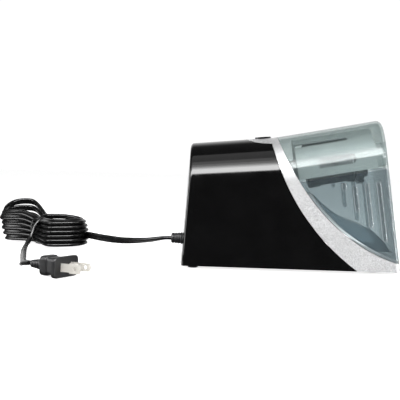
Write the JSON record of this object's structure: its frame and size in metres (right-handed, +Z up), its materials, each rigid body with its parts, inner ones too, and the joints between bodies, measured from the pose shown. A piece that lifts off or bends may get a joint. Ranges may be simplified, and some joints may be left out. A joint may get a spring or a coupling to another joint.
{
  "type": "electric pencil sharpener",
  "caption": "Desktop electric pencil sharpener: gloss black rear housing, curved silver band, see-through cutter dome, slide-out ribbed shavings bin and a bundled mains cord with a flat plug.",
  "frame": {"origin": "centre of the casing in plan, on the surface that its feet stand on", "axes": "+X towards the pencil port and the bin, +Y to the left of the sharpener seen from behind, +Z up"},
  "size_m": [0.405, 0.3137, 0.1321],
  "materials": {
    "gloss_black": "polished black",
    "satin_silver": "satin silver with a fine sparkle",
    "smoke_clear": "see-through smoke grey with a green cast",
    "pale_grey": "pale grey, half gloss",
    "dark_plastic": "moulded black",
    "rubber": "matt black",
    "steel": "turned and ground",
    "cast_zinc": "die cast",
    "brass": "turned",
    "gear_plastic": "natural acetal",
    "board_green": "solder mask",
    "cord_black": "half-gloss black PVC",
    "blade_metal": "nickel plated"
  },
  "bodies": {
    "casing": {"rear_housing": "gloss_black", "top_badge": "gloss_black", "trim_band": "satin_silver", "cutter_dome": "smoke_clear", "cutter_shroud": "pale_grey", "base_plate": "dark_plastic", "pencil_guide": "dark_plastic", "pencil_switch": "dark_plastic", "bin_switch": "dark_plastic", "motor_end_bell": "dark_plastic", "foot_rear_left": "rubber", "foot_rear_right": "rubber", "foot_front_left": "rubber", "foot_front_right": "rubber", "cord_tie": "rubber", "base_screw_1": "steel", "base_screw_2": "steel", "base_screw_3": "steel", "base_screw_4": "steel", "ring_gear": "steel", "gearbox_plate_front": "steel", "gearbox_plate_rear": "steel", "motor_can": "steel", "start_lever_pin": "steel", "gearbox_spacer_1": "brass", "gearbox_spacer_2": "brass", "gearbox_spacer_3": "brass", "gearbox_spacer_4": "brass", "carrier_bushing_rear": "brass", "carrier_bushing_front": "brass", "power_board": "board_green", "strain_relief": "cord_black", "power_cord": "cord_black", "cord_hank": "cord_black", "cord_tail": "cord_black", "plug_body": "cord_black", "plug_blade_neutral": "blade_metal", "plug_blade_line": "blade_metal"},
    "bin": {"shavings_bin": "smoke_clear"},
    "carrier": {"cutter_carrier": "cast_zinc", "carrier_shaft": "steel", "carrier_gear": "gear_plastic", "cutter_pin": "steel"},
    "cutter": {"helical_cutter": "steel", "planet_pinion": "steel"},
    "idler": {"idler_gear": "gear_plastic", "idler_pinion": "steel", "idler_shaft": "steel"},
    "rotor": {"motor_rotor": "steel", "motor_pinion": "brass"},
    "lever": {"start_lever": "dark_plastic"},
    "plunger": {"interlock_plunger": "dark_plastic"}
  },
  "joints": [
    {"name": "bin_slide", "type": "slide", "parent": "casing", "child": "bin", "axis": [1, 0, 0], "range_m": [0, 0.095]},
    {"name": "plunger_slide", "type": "slide", "parent": "casing", "child": "plunger", "axis": [1, 0, 0], "range_m": [0, 0.003]},
    {"name": "carrier_spin", "type": "hinge", "parent": "casing", "child": "carrier", "pos_m": [0, 0, 0.087], "axis": [0.9833, 0, 0.1822], "continuous": true},
    {"name": "cutter_spin", "type": "hinge", "parent": "carrier", "child": "cutter", "pos_m": [0.06162, 0, 0.08377], "axis": [0.9998, 0, -0.0175], "continuous": true},
    {"name": "idler_spin", "type": "hinge", "parent": "casing", "child": "idler", "pos_m": [0.00474, 0, 0.06143], "axis": [0.9833, 0, 0.1822], "continuous": true},
    {"name": "motor_spin", "type": "hinge", "parent": "casing", "child": "rotor", "pos_m": [0.00929, 0, 0.03685], "axis": [0.9833, 0, 0.1822], "continuous": true},
    {"name": "lever_swing", "type": "hinge", "parent": "casing", "child": "lever", "pos_m": [0.07026, 0, 0.10958], "axis": [0, 1, 0], "range_deg": [0, 35], "stiffness_Nm_per_rad": 0.0005, "springref_deg": -11.46}
  ],
  "couplings": [
    {"joint": "plunger_slide", "follows": "bin_slide", "ratio": 0.03},
    {"joint": "carrier_spin", "follows": "motor_spin", "ratio": 0.075},
    {"joint": "cutter_spin", "follows": "motor_spin", "ratio": -0.275},
    {"joint": "idler_spin", "follows": "motor_spin", "ratio": -0.25}
  ]
}
